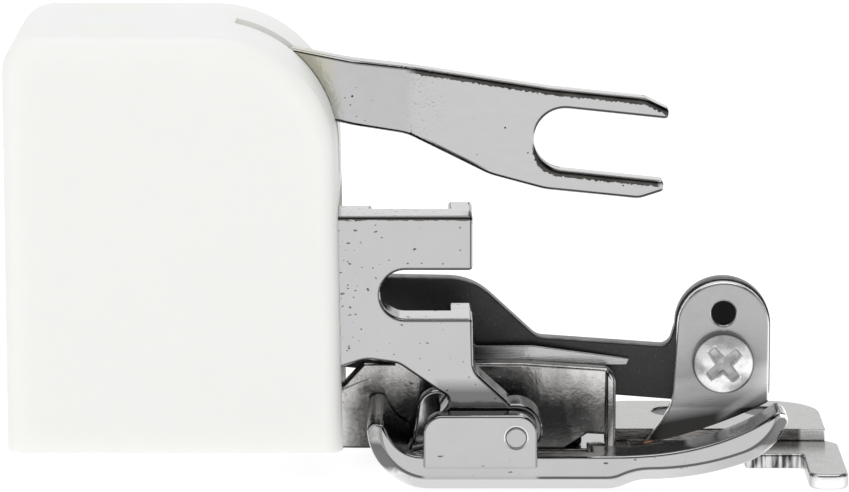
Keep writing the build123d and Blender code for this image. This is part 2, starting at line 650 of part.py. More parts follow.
# Guide plate: the flat base under the far leg, with a tongue across the front of the sole
def guide_plate():
    notch_y = lower_knife_near + SHEAR_GAP
    slot_near = CUT_PLANE - UPPER_KNIFE_THICK - KNIFE_SIDE_GAP
    far = lower_knife_far - 0.3
    tongue_rear = GUIDE_FRONT - TONGUE_WIDTH
    outline = rounded([
        (GUIDE_REAR, LEG_NEAR, 0.6),
        (LEG_FRONT, LEG_NEAR, 0),
        (LEG_FRONT, GUIDE_FINGER_NEAR, 0.4),
        (GUIDE_FINGER_X, GUIDE_FINGER_NEAR, 0.4),
        (GUIDE_FINGER_X - 0.6, slot_near, 0.3),
        (KNIFE_TIP[0] - 1.2, slot_near, 0.3),
        (KNIFE_TIP[0] - 1.2, notch_y, 0.3),
        (GUIDE_BRIDGE_X, notch_y, 0.3),
        (GUIDE_BRIDGE_X, GUIDE_NEAR, 0.4),
        (tongue_rear, GUIDE_NEAR, 0.4),
        (tongue_rear, TONGUE_NEAR, GUIDE_CORNER),
        (GUIDE_FRONT, TONGUE_NEAR, GUIDE_CORNER),
        (GUIDE_FRONT, lower_knife_near - 0.7, 0.6),
        (LOWER_KNIFE_FRONT - 0.2, lower_knife_near + 0.7, 0.6),
        (LOWER_KNIFE_FRONT - 0.2, far, LOWER_KNIFE_CORNER),
        (LOWER_KNIFE_REAR, far, 1.5),
        (LOWER_KNIFE_REAR, foot_far, 0.8),
        (GUIDE_REAR, foot_far, 0.6),
    ])
    plate = plan_slab(outline, guide_bottom, guide_top)
    for x in GUIDE_SCREW_X:
        plate -= Pos(x, guide_screw_y(), guide_bottom) * Rot(180, 0, 0) * plate_screw(GUIDE_THICK + 1)
    for x in LOWER_KNIFE_SCREW_X:
        plate -= upright_rod(x, knife_screw_y(), PLATE_SCREW_RADIUS, guide_bottom - 1, guide_top + 1)
    return plate


def plate_screw(length):
    return flat_screw(PLATE_SCREW_RADIUS, PLATE_SCREW_HEAD, length)


def knife_screw_y():
    return lower_knife_far - LOWER_KNIFE_SCREW_INSET


def guide_screws():
    length = GUIDE_THICK + FOOT_THICK
    return Compound(children=[Pos(x, guide_screw_y(), guide_bottom) * Rot(180, 0, 0) * plate_screw(length)
                              for x in GUIDE_SCREW_X])


# Lower knife: a ground plate whose near edge is the fixed cutting edge
def lower_knife():
    outline = rounded([
        (LOWER_KNIFE_REAR, lower_knife_near, 0),
        (LOWER_KNIFE_FRONT, lower_knife_near, 0),
        (LOWER_KNIFE_FRONT, lower_knife_far, LOWER_KNIFE_CORNER),
        (LOWER_KNIFE_REAR, lower_knife_far, 1.5),
    ])
    plate = plan_slab(outline, guide_top, lower_knife_top)
    for x in LOWER_KNIFE_SCREW_X:
        plate -= Pos(x, knife_screw_y(), lower_knife_top - SCREW_RECESS) * plate_screw(LOWER_KNIFE_THICK + 1)
        plate -= upright_rod(x, knife_screw_y(), PLATE_SCREW_HEAD, lower_knife_top - SCREW_RECESS,
                             lower_knife_top + 1)
    return plate


def lower_knife_screws():
    length = LOWER_KNIFE_THICK + GUIDE_THICK - SCREW_RECESS
    return Compound(children=[
        Pos(x, knife_screw_y(), lower_knife_top - SCREW_RECESS) * plate_screw(length)
        for x in LOWER_KNIFE_SCREW_X])


# Presser sole: a cast shoe with an upturned heel, one long toe and two ears for its pin
def sole_lower_edges():
    """Underside of the sole from the heel to the toe's tip, in tangent lines and arcs."""
    flat_front = SOLE_FRONT - 0.3
    step = SOLE_FRONT + 1.35
    heel = TangentArc((HEEL_RUN, sole_bottom), (-HEEL_REACH, sole_bottom + HEEL_RISE - 0.2), tangent=(-1, 0))
    flat = Line((HEEL_RUN, sole_bottom), (flat_front, sole_bottom))
    rise = TangentArc(flat @ 1, (step, sole_bottom + TOE_LIFT / 2), tangent=(1, 0))
    level = TangentArc(rise @ 1, (2 * step - flat_front, sole_bottom + TOE_LIFT), tangent=rise % 1)
    toe = TangentArc(level @ 1, (TOE_TIP - 3.2, sole_bottom + TOE_THICK), tangent=level % 1)
    tip = TangentArc(toe @ 1, (TOE_TIP, sole_bottom + TOE_RISE - 0.4), tangent=toe % 1)
    return [heel, flat, rise, level, toe, tip]


def sole_upper_edges():
    """Top of the sole from the toe's tip back to the heel."""
    heel = -HEEL_REACH
    heel_top = sole_bottom + HEEL_RISE
    toe_top = sole_bottom + TOE_RISE
    return [
        ThreePointArc((TOE_TIP, toe_top - 0.4), (TOE_TIP - 0.15, toe_top + 0.35),
                      (TOE_TIP - 0.8, toe_top + 0.75)),
        Spline((TOE_TIP - 0.8, toe_top + 0.75), (TOE_TIP - 4.0, sole_bottom + 4.5), (SOLE_FRONT, sole_top),
               tangents=[(-0.75, -0.62), (-1, 0)]),
        Line((SOLE_FRONT, sole_top), (EAR_REAR - 0.1, sole_top)),
        Spline((EAR_REAR - 0.1, sole_top), (heel + HEEL_THICK, heel_top + 0.35),
               tangents=[(-1, 0.05), (-0.35, 1)]),
        ThreePointArc((heel + HEEL_THICK, heel_top + 0.35), (heel + HEEL_THICK / 2, heel_top + 0.55),
                      (heel, heel_top - 0.2)),
    ]


def presser_sole():
    rim_near = sole_near + EAR_PROUD
    lower = sole_lower_edges()
    body = side_slab(make_face(lower + sole_upper_edges()), rim_near, sole_far)
    middles = [edge.position_at(0.5) for edge in lower]
    keel = [edge for edge in body.edges() for m in middles
            if (edge.position_at(0.5) - Vector(m.X, rim_near, m.Y)).length < 0.05]
    body = chamfer(keel, SOLE_BEVEL)
    toe_far = sole_near + TOE_WIDTH
    plan = rounded([
        (-HEEL_REACH - 1, sole_near, 0),
        (TOE_TIP + 0.2, sole_near, 1.6),
        (TOE_TIP + 0.2, toe_far, 1.6),
        (SOLE_FRONT, toe_far, 0.8),
        (SOLE_FRONT, sole_far, 0.8),
        (-HEEL_REACH - 1, sole_far, 0),
    ])
    body &= plan_slab(plan, sole_bottom - 1, sole_bottom + 10)
    pocket_near = sole_near + EAR_WALL
    floor_z = sole_bottom + SOLE_FLOOR
    body -= block(EAR_REAR - 0.8, SOLE_FRONT + 1, pocket_near, sole_far + 1, floor_z, sole_top + 1) \
        - block(SOLE_FRONT - 1.4, SOLE_FRONT + 2, pocket_near - 1, toe_far, sole_bottom, sole_top + 2)
    body -= block(NEEDLE_NOTCH_REAR, NEEDLE_NOTCH_REAR + NEEDLE_NOTCH_LENGTH, toe_far + 0.5,
                  sole_far + 1, sole_bottom - 1, sole_top + 1)
    ear_top = sole_bottom + EAR_RISE
    ear = rounded([
        (EAR_REAR, floor_z + 0.4, 0),
        (EAR_REAR, ear_top, EAR_CORNER),
        (EAR_FRONT, ear_top, EAR_CORNER),
        (EAR_FRONT, floor_z + 0.4, 0),
    ])
    body += side_slab(ear, sole_near, pocket_near)
    far_ear = rounded([
        (FAR_EAR_REAR, floor_z - 0.5, 0),
        (FAR_EAR_REAR + 0.8, ear_top + FAR_EAR_EXTRA, EAR_CORNER),
        (EAR_FRONT - 0.2, ear_top + FAR_EAR_EXTRA - FAR_EAR_SLOPE, EAR_CORNER),
        (EAR_FRONT - 0.2, floor_z - 0.5, 0),
    ])
    body += side_slab(far_ear, far_ear_near, far_ear_far)
    return body - cross_rod(PIN_X, pin_z, PIN_RADIUS, sole_near - 1, far_ear_far + 1)


def sole_pin():
    return cross_rod(PIN_X, pin_z, PIN_RADIUS, sole_near, far_ear_far)


os.makedirs("parts", exist_ok=True)
export_step(main_frame(), "parts/main_frame.step")
export_step(base_plate(), "parts/base_plate.step")
export_step(cover_shell(), "parts/cover_shell.step")
export_step(cover_screws(), "parts/cover_screws.step")
export_step(fork_lever(), "parts/fork_lever.step")
export_step(crank_shaft(), "parts/crank_shaft.step")
export_step(crank_clip(), "parts/crank_clip.step")
export_step(knife_arm(), "parts/knife_arm.step")
export_step(knife_pivot(), "parts/knife_pivot.step")
export_step(knife_clip(), "parts/knife_clip.step")
export_step(upper_knife(), "parts/upper_knife.step")
export_step(knife_dowel(), "parts/knife_dowel.step")
export_step(knife_screw(), "parts/knife_screw.step")
export_step(pressure_spring(), "parts/pressure_spring.step")
export_step(spring_screw(), "parts/spring_screw.step")
export_step(guide_plate(), "parts/guide_plate.step")
export_step(guide_screws(), "parts/guide_screws.step")
export_step(lower_knife(), "parts/lower_knife.step")
export_step(lower_knife_screws(), "parts/lower_knife_screws.step")
export_step(presser_sole(), "parts/presser_sole.step")
export_step(sole_pin(), "parts/sole_pin.step")
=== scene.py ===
import math

import bmesh
import bpy
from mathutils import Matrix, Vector


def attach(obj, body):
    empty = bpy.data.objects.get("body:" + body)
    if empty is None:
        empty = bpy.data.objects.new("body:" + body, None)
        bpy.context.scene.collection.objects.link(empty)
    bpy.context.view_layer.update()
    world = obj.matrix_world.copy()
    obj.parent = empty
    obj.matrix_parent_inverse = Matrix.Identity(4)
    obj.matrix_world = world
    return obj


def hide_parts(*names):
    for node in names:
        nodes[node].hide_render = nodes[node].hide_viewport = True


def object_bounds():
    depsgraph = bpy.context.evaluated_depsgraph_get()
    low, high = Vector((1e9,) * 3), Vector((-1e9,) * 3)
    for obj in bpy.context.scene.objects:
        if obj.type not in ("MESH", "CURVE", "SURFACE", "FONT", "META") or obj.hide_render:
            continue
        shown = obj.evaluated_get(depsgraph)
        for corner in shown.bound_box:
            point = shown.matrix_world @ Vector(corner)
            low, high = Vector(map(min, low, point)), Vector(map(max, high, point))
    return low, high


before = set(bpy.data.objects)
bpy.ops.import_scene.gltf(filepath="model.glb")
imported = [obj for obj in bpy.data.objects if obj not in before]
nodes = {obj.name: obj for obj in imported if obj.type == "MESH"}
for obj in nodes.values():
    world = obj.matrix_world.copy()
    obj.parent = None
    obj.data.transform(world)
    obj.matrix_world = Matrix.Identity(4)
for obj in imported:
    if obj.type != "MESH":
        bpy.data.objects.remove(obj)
solid_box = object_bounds()


# Main frame: one zinc die casting with the slotted shank, the stem, the floor and the far leg.
# The shank's left face is polished and bright plated, with pits that crowd towards the cover.
# The leg keeps its as-cast skin, which stays grainy; its dark tone, lighter at the top and at both ends, is
# a painted reflection.
millimetre = 0.001


def stand_in(shape, name, node, body):
    """Object made of a finished shape, riding on a body in place of a solid."""
    mesh = bpy.data.meshes.new(name)
    shape.to_mesh(mesh)
    shape.free()
    piece = bpy.data.objects.new(name, mesh)
    bpy.context.scene.collection.objects.link(piece)
    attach(piece, body)
    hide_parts(node)
    return piece


def rounded_copy(node, name, body, radius, crease=40):
    """Copy of a solid, in place of it. Its outer edges that turn by more than the crease, in degrees,
    are rounded by the radius, in millimetres."""
    weld = 0.002 * millimetre
    sliver = 0.04 * millimetre
    flat_angle = math.radians(0.6)
    shape = bmesh.new()
    shape.from_mesh(nodes[node].data)
    bmesh.ops.remove_doubles(shape, verts=shape.verts, dist=weld)
    bmesh.ops.dissolve_limit(shape, angle_limit=flat_angle, verts=shape.verts, edges=shape.edges)
    bmesh.ops.dissolve_degenerate(shape, dist=sliver, edges=shape.edges)
    outer = [edge for edge in shape.edges
             if edge.is_manifold and edge.is_convex and edge.calc_face_angle() > math.radians(crease)]
    bmesh.ops.bevel(shape, geom=outer, offset=radius * millimetre, offset_type="OFFSET", segments=3,
                    profile=0.5, affect="EDGES", material=-1)
    for face in shape.faces:
        face.smooth = True
    piece = stand_in(shape, name, node, body)
    piece.modifiers.new("even_shading", "WEIGHTED_NORMAL").keep_sharp = True
    return piece


class Wire:
    """A socket of a material's node tree. Arithmetic on it adds Math nodes."""

    def __init__(self, tree, socket=None):
        self.tree = tree
        self.socket = socket

    def node(self, kind, sockets=(), out=0, **settings):
        made = self.tree.nodes.new("ShaderNode" + kind)
        for name, value in settings.items():
            setattr(made, name, value)
        for name, value in dict(sockets).items():
            self.join(value, made.inputs[name])
        return Wire(self.tree, made.outputs[out])

    def join(self, value, target):
        if isinstance(value, Wire):
            self.tree.links.new(value.socket, target)
        else:
            target.default_value = value

    def maths(self, operation, a, b=0.0):
        return self.node("Math", {0: a, 1: b}, operation=operation)

    def __add__(self, other):
        return self.maths("ADD", self, other)

    def __sub__(self, other):
        return self.maths("SUBTRACT", self, other)

    def __rsub__(self, other):
        return self.maths("SUBTRACT", other, self)

    def __mul__(self, other):
        return self.maths("MULTIPLY", self, other)

    def __abs__(self):
        return self.maths("ABSOLUTE", self)

    __radd__ = __add__
    __rmul__ = __mul__


class Finish:
    """A Principled material whose patterns are drawn in millimetres of the object's own frame."""

    def __init__(self, name, **constants):
        self.material = bpy.data.materials.new(name)
        self.material.use_nodes = True
        tree = self.material.node_tree
        self.shader = tree.nodes["Principled BSDF"]
        self.wire = Wire(tree)
        place = self.wire.node("TexCoord", out="Object")
        self.mm = self.stretched((1 / millimetre, 1 / millimetre, 1 / millimetre), place)
        self.facing = self.wire.node("TexCoord", out="Normal")
        for name, value in constants.items():
            self.shader.inputs[name.replace("_", " ")].default_value = value

    def stretched(self, scale, vector=None):
        return self.wire.node("VectorMath", {0: vector or self.mm, 1: scale}, operation="MULTIPLY")

    def axis(self, letter, vector=None):
        return self.wire.node("SeparateXYZ", {0: vector or self.mm}, out=letter)

    def slope(self, letter):
        """How far the surface faces along an axis, from -1 to 1."""
        return self.axis(letter, self.facing)

    def from_line(self, place):
        """Distance from the line that runs across the foot through that X and Z."""
        flat = self.stretched((1, 0, 1))
        return self.wire.node("VectorMath", {0: flat, 1: (place[0], 0, place[1])}, out="Value",
                              operation="DISTANCE")

    def noise(self, scale, detail=2.0, vector=None, roughness=0.5):
        return self.wire.node("TexNoise", {"Vector": vector or self.mm, "Scale": scale, "Detail": detail,
                                           "Roughness": roughness})

    def between(self, value, low, high):
        """0 where the value is low and 1 where it is high, with a straight ramp between."""
        return self.wire.node("MapRange", {"Value": value, "From Min": low, "From Max": high})

    def band(self, value, low, high, soft):
        """1 where the value lies between low and high, fading over a width of soft outside them."""
        return self.between(value, low - soft, low) * self.between(value, high + soft, high)

    def most(self, first, *others):
        """The greatest of several values."""
        for other in others:
            first = self.wire.maths("MAXIMUM", first, other)
        return first

    def mix(self, mask, first, second):
        return self.wire.node("Mix", {0: mask, 6: first, 7: second}, out=2, data_type="RGBA")

    def relief(self, height, depth):
        """Bump of that depth in millimetres."""
        self.set(Normal=self.wire.node("Bump", {"Height": height, "Distance": depth * millimetre}))

    def set(self, **links):
        for name, value in links.items():
            self.wire.join(value, self.shader.inputs[name.replace("_", " ")])

    def dress(self, *pieces):
        for piece in pieces:
            if not piece.material_slots:
                piece.data.materials.append(self.material)
            piece.material_slots[0].material = self.material


def grey(value, warmth=0.0):
    """Linear grey, a little warmer where warmth is above 0."""
    return (value * (1 + warmth), value, value * (1 - warmth), 1)


casting = rounded_copy("main_frame", "frame_casting", "frame", radius=0.28)
plating = Finish("plated_casting", Metallic=1.0)

pit_spots = plating.noise(2.6, 1.0, plating.stretched((0.75, 1, 1.35)))
crowding = 0.05 * plating.between(plating.axis("X"), -1.0, -4.5)
pits = plating.between(pit_spots + crowding, 0.725, 0.75)
cloud = plating.noise(0.28, 3.0)
polished = plating.mix(cloud, grey(0.465), grey(0.505))
polished = plating.mix(pits, polished, grey(0.14))

cast_skin = plating.noise(3.2, 4.0, roughness=0.6)
metal_flow = plating.noise(0.45, 2.0, plating.stretched((1.6, 1, 0.5)))
# Painted reflection: the leg is drawn dark, lighter towards its top and at both ends, over the grain of its
# cast skin.
upper_leg = plating.between(plating.axis("Z"), -11.0, -8.0)
heel_side = plating.between(plating.axis("X"), -3.6, -5.2)
toe_side = plating.between(plating.axis("X"), 12.5, 15.5)
light = 0.60 * upper_leg + 0.85 * heel_side + 0.45 * toe_side
light = light + 0.7 * (metal_flow - 0.5) + 0.35 * (cast_skin - 0.5)
leg_skin_and_painted_sheen = plating.mix(plating.between(light, 0.05, 0.95), grey(0.080, 0.02), grey(0.66, 0.02))
on_leg = plating.between(plating.axis("Y"), 6.8, 8.2)
plate = plating.mix(on_leg, polished, leg_skin_and_painted_sheen)

# Painted reflection: a ragged dark line just under the shank's top edge.
shank_top = 6.15
top_line_depth = 0.30
ragged = 0.24 * (plating.noise(3.0, 3.0, plating.stretched((0.6, 1, 1))) - 0.5)
top_line = plating.band(shank_top - plating.axis("Z") + ragged, -0.15, top_line_depth, 0.05)
top_line = top_line * plating.between(plating.slope("Z"), 0.92, 0.80)
top_line = top_line * plating.between(plating.axis("X"), -7.5, -7.0) * (1 - on_leg)
plate = plating.mix(0.9 * top_line, plate, grey(0.06, 0.12))

# Painted shade at the foot of the stem, on its front-facing faces.
stem_foot_shade = plating.between(plating.axis("Z"), -6.5, -7.7) * plating.between(plating.axis("X"), 2.0, 2.6)
stem_foot_shade = stem_foot_shade * plating.between(plating.slope("Y"), -0.5, -0.9) * (1 - on_leg)
plate = plating.mix(0.8 * stem_foot_shade, plate, grey(0.08))

# Painted reflection: thin dark lines along the lower and side edges.
lower_edge_reflection = plating.band(plating.slope("Z"), -0.62, -0.25, 0.15)
side_edge = plating.band(abs(plating.slope("X")), 0.30, 0.60, 0.12)
dark_edge_reflection = plating.most(lower_edge_reflection, side_edge)
plating.set(Base_Color=plating.mix(0.8 * dark_edge_reflection, plate, grey(0.05)))
plating.set(Roughness=0.09 + 0.06 * cloud + 0.07 * on_leg)
ripple = plating.noise(0.5, 1.0) + 0.10 * cast_skin
grainy = on_leg * (1.1 * metal_flow + 0.30 * cast_skin)
plating.relief(ripple + grainy - 0.5 * pits, 0.035)
plating.dress(casting)


# Cover: an injection-moulded shell of ivory-white plastic with a fine satin skin.
# Two screws from below hold it, and the posts that they bite in leave faint sink marks on its top.
ivory = Finish("ivory_plastic", Roughness=0.42, IOR=1.46, Specular_IOR_Level=0.3, Subsurface_Weight=0.3,
               Subsurface_Scale=3 * millimetre, Subsurface_Radius=(1.0, 0.95, 0.8))
grain = ivory.noise(9.0, 3.0)
blotch = ivory.noise(0.12, 2.0)
on_top = ivory.between(ivory.slope("Z"), 0.5, 0.9)
near_post = ivory.band(ivory.axis("Y"), 1.0, 4.2, 1.6)
far_post = ivory.band(ivory.axis("Y"), 11.6, 14.4, 1.6)
sink_marks = on_top * ivory.band(ivory.axis("X"), -24.6, -21.2, 1.2) * (near_post + far_post)
walls = ivory.mix(blotch, (0.910, 0.918, 0.872, 1), (0.922, 0.930, 0.885, 1))
# Painted shade: the top is drawn a little darker and greyer than the walls.
plain = ivory.mix(on_top, walls, (0.880, 0.890, 0.870, 1))
# Painted shade: the sink marks are tinted darker and yellower in their shallow dips.
ivory.set(Base_Color=ivory.mix(0.45 * sink_marks, plain, (0.872, 0.878, 0.790, 1)))
ivory.relief(grain - 2.0 * sink_marks, 0.006)
ivory.dress(nodes["cover_shell"])


# Base plate: a stamped steel plate, zinc plated, riveted under the frame's floor.
# The cover's two screws pass through it.
zinc = Finish("zinc_plate", Metallic=1.0)
sheet = zinc.noise(1.2, 4.0, zinc.stretched((0.2, 1, 1)))
zinc.set(Base_Color=zinc.mix(sheet, grey(0.42), grey(0.55)))
zinc.set(Roughness=0.30 + 0.15 * sheet)
zinc.relief(sheet, 0.01)
zinc.dress(rounded_copy("base_plate", "floor_plate", "frame", radius=0.15))


# Fork lever: stamped from 2 mm steel strip, bent, tumbled and bright plated.
# The bend stretches the skin to a fine orange peel. A ragged dark band along the rounded upper edges of the
# fork is a painted reflection of the dark room, and near the cover a painted reflection of its ivory tints
# the plating.
lever = rounded_copy("fork_lever", "needle_lever", "lever", radius=0.32)
strip = Finish("plated_strip", Metallic=1.0)
along = strip.axis("X")
up = strip.axis("Z")

fork_centre = (12.55, 10.37)
fork_radius = 2.45
fork_tilt = math.radians(6)
lever_back = (0.25, 16.2)
fork_shoulder = (11.325, 14.4675)
tine_shoulder = (18.8, 13.697)
tine_tip = (20.7, 12.775)
belly_rear = (0.85, 10.44)
belly_front = (6.15, 7.79)
upper_band_width = 0.52
lower_band_width = 0.50


def edge_height(start, end):
    """Height of the lever's straight edge through two places, each an X and a Z."""
    rise = (end[1] - start[1]) / (end[0] - start[0])
    return start[1] + rise * (along - start[0])


# Painted reflection: a ragged dark band along the fork's upper edges and along the lower side of its slot.
top_edge = strip.most(edge_height(lever_back, fork_shoulder), edge_height(fork_shoulder, tine_shoulder))
top_edge = strip.wire.maths("MINIMUM", top_edge, edge_height(tine_shoulder, tine_tip))
ragged = 0.45 * (strip.noise(3.5, 2.0) - 0.5)
upper_band = strip.between(0.99 * (top_edge - up) + ragged - upper_band_width, 0.03, -0.03)

out_of_fork = math.cos(fork_tilt) * (along - fork_centre[0]) - math.sin(fork_tilt) * (up - fork_centre[1])
over_fork = math.sin(fork_tilt) * (along - fork_centre[0]) + math.cos(fork_tilt) * (up - fork_centre[1])
in_round = strip.wire.maths("MINIMUM", out_of_fork, 0.0)
from_fork = strip.wire.maths("SQRT", in_round * in_round + over_fork * over_fork) - fork_radius
band_width = lower_band_width * strip.between(over_fork, 0.0, -fork_radius)
lower_band = strip.between(from_fork + ragged - band_width, 0.04, -0.02)
lower_band = lower_band * strip.between(over_fork, -0.6, -1.2) * strip.between(along, 20.1, 19.8)

past_bend = strip.between(along, 0.0, 0.9)
not_top = strip.between(strip.slope("Z"), 0.92, 0.80)
dark_band = past_bend * not_top * strip.most(upper_band, lower_band)
# Painted reflection: thin dark lines along the lower edges and the belly; the scattered dots are wear.
from_belly = 0.894 * (up - edge_height(belly_rear, belly_front))
belly_line = strip.band(along, 2.6, 5.0, 1.6) * strip.band(from_belly, 0.28, 0.36, 0.07)
lower_edge_reflection = strip.band(strip.slope("Z"), -0.62, -0.25, 0.15)
worn_dots = strip.between(strip.noise(2.0, 1.0), 0.755, 0.77)
dark_line = strip.most(0.85 * lower_edge_reflection, worn_dots, 0.75 * belly_line)

rolled = strip.noise(1.6, 3.0, strip.stretched((0.35, 1, 1)))
# Painted shade: the strip before the bend is drawn a little darker than past it.
bright = strip.mix(past_bend, strip.mix(rolled, grey(0.440), grey(0.475)),
                   strip.mix(rolled, grey(0.475), grey(0.515)))
# Painted reflection of the ivory cover on the plating near it.
bright = strip.mix(strip.between(along, -5.0, -6.4), bright, (0.475, 0.460, 0.385, 1))
bright = strip.mix(dark_line, bright, grey(0.025))
band_grey = strip.mix(strip.between(rolled, 0.35, 0.65), grey(0.040, 0.06), grey(0.085, 0.06))
strip.set(Base_Color=strip.mix(dark_band, bright, band_grey))
strip.set(Roughness=0.09 + 0.07 * strip.noise(0.5, 3.0))
orange_peel = (0.2 + 0.8 * strip.band(along, 0.7, 2.4, 2.6)) * strip.noise(3.6, 2.0)
strip.relief(strip.noise(0.4, 1.0) + 0.10 * rolled + orange_peel, 0.03)
strip.dress(lever)


# Crank shaft, pins and clips: plain steel, turned to size, with stamped spring clips.
# The shaft and the arm's pivot sit in the frame under the cover, each held by its clip.
# The sole's pin is pressed through the ears.
turned = Finish("turned_steel", Metallic=1.0)
tool_rings = turned.noise(6.0, 2.0, turned.stretched((0.2, 3, 0.2)))
turned.set(Base_Color=turned.mix(tool_rings, grey(0.42), grey(0.50)))
turned.set(Roughness=0.14 + 0.10 * tool_rings)
turned.relief(tool_rings, 0.004)
turned.dress(nodes["crank_shaft"], nodes["crank_clip"], nodes["knife_pivot"], nodes["knife_clip"])
turned.dress(rounded_copy("sole_pin", "hinge_pin", "sole", radius=0.12))


# Knife arm: blanked steel plate, blackened by hot oxide and oiled, that rocks on its pivot.
# Its upper edge is rubbed a little brighter. The knife's dowel, pressed into it, and the lower
# knife's flush screws are blackened with it.
arm = rounded_copy("knife_arm", "rocker_arm", "knife", radius=0.2)
oxide = Finish("black_oxide", Metallic=1.0)
dowel_line = (25.2, -3.7)
# Painted shade: the dowel's end, deep in the knife's hole, is drawn darker than the arm.
at_dowel = oxide.between(oxide.from_line(dowel_line), 1.02, 0.94)
speck = oxide.between(oxide.noise(6.0, 3.0), 0.60, 0.78)
black = oxide.mix(speck, grey(0.060), grey(0.110))
black = oxide.mix(at_dowel, black, grey(0.012))
rubbed = oxide.between(oxide.slope("Z"), 0.30, 0.80) * oxide.noise(1.2, 3.0)
oxide.set(Base_Color=oxide.mix(rubbed, black, grey(0.30)))
oxide.set(Roughness=0.32 + 0.14 * oxide.noise(1.5, 3.0))
oxide.relief(oxide.noise(5.0, 3.0), 0.012)
oxide.dress(arm, nodes["knife_dowel"], nodes["lower_knife_screws"])


# Upper knife: hardened steel, surface ground, with a hollow grind down to the cutting edge.
# One screw and the dowel fix it to the arm. Heat from grinding leaves a brown tint along the
# edge near the rear tip.
blade = rounded_copy("upper_knife", "moving_blade", "knife", radius=0.22)
honed = Finish("honed_blade", Metallic=1.0)
along_blade = honed.axis("X")
up_blade = honed.axis("Z")
downward = up_blade - 0.2 * along_blade
# Painted reflection: the hollow grind is drawn dark, with a lighter streak across it and a light band above
# it.
streak = honed.band(up_blade - 0.68 * along_blade, -29.25, -28.85, 0.35)
streak = streak * honed.between(along_blade, 24.6, 26.2)
hollow_reflection = honed.between(downward, -14.9, -16.9) * (1 - 0.45 * streak)
over_hollow_highlight = honed.band(downward, -15.2, -13.9, 0.8)
heat_tint = honed.band(up_blade + 0.95 * along_blade, 3.6, 4.3, 0.35) * honed.between(hollow_reflection, 0.2, 0.6)
# Painted highlight along the blade's edges.
rim_highlight = honed.between(abs(honed.slope("Y")), 0.96, 0.75) * honed.between(honed.slope("Z"), -0.15, -0.02)
steel = honed.mix(honed.noise(0.5, 3.0), grey(0.40), grey(0.47))
steel = honed.mix(over_hollow_highlight, steel, grey(0.66))
steel = honed.mix(hollow_reflection, steel, grey(0.03, 0.03))
steel = honed.mix(0.8 * heat_tint, steel, (0.30, 0.15, 0.07, 1))
fine_lay = honed.noise(4.0, 3.0, honed.stretched((0.3, 1, 2.5)))
honed.set(Base_Color=honed.mix(rim_highlight, steel, grey(0.95)))
honed.set(Roughness=0.24 + 0.10 * fine_lay)
honed.relief(fine_lay, 0.005)
honed.dress(blade)


# Guide plate and lower knife: ground strip steel, screwed under the leg and onto the plate.
# The plate's bridge keeps the cutter's marks across its left edge. Front-facing faces carry painted shade,
# and the tongue's end a painted highlight.
ground = Finish("ground_strip", Metallic=1.0)
lay = ground.noise(5.0, 3.0, ground.stretched((0.25, 1, 3)))
veil = ground.noise(0.5, 3.0)
leftward = ground.between(ground.slope("Y"), -0.35, -0.85)
on_tongue = ground.between(ground.axis("X"), 31.3, 31.6)
lit_tops = ground.mix(veil, grey(0.42, 0.01), grey(0.50, 0.01))
# Painted highlight on the front face of the tongue's end.
lit_tops = ground.mix(leftward * on_tongue, lit_tops, grey(0.92))
# Painted shade: faces that turn to the front are drawn much darker than the tops.
shaded_sides = ground.mix(ground.between(lay, 0.35, 0.65), grey(0.08, 0.05), grey(0.25, 0.06))
on_bridge = ground.between(ground.axis("X"), 26.4, 27.0) * ground.between(ground.axis("Y"), 7.5, 7.3)
ribs = ground.noise(3.4, 2.0, ground.stretched((1, 0.05, 0.12)))
cutter_marks = ground.mix(ground.between(ribs, 0.40, 0.60), grey(0.06), grey(0.70))
shaded_sides = ground.mix(on_bridge, shaded_sides, cutter_marks)
ground.set(Base_Color=ground.mix(leftward * (1 - on_tongue), lit_tops, shaded_sides))
ground.set(Roughness=0.20 + 0.12 * lay)
ground.relief(lay, 0.006)
ground.dress(rounded_copy("guide_plate", "guide_base", "frame", radius=0.25))
ground.dress(rounded_copy("lower_knife", "fixed_blade", "frame", radius=0.12))


# Pressure spring: a tapered strip of drawn spring steel that leans on the knife arm.
# One screw behind the stem holds it to the leg. Its rear end, behind the stem, is painted dark as the stem's
# shadow.
spring = Finish("spring_strip", Metallic=1.0)
drawn = spring.noise(4.0, 3.0, spring.stretched((0.2, 1, 4)))
# Painted shadow: the rear end, behind the stem, is drawn dark.
in_open = spring.between(spring.axis("X"), 4.5, 10.5)
spring.set(Base_Color=spring.mix(in_open, grey(0.12), grey(0.50)))
spring.set(Roughness=0.18 + 0.12 * drawn)
spring.relief(drawn, 0.008)
spring.dress(rounded_copy("pressure_spring", "leaf_spring", "frame", radius=0.10))


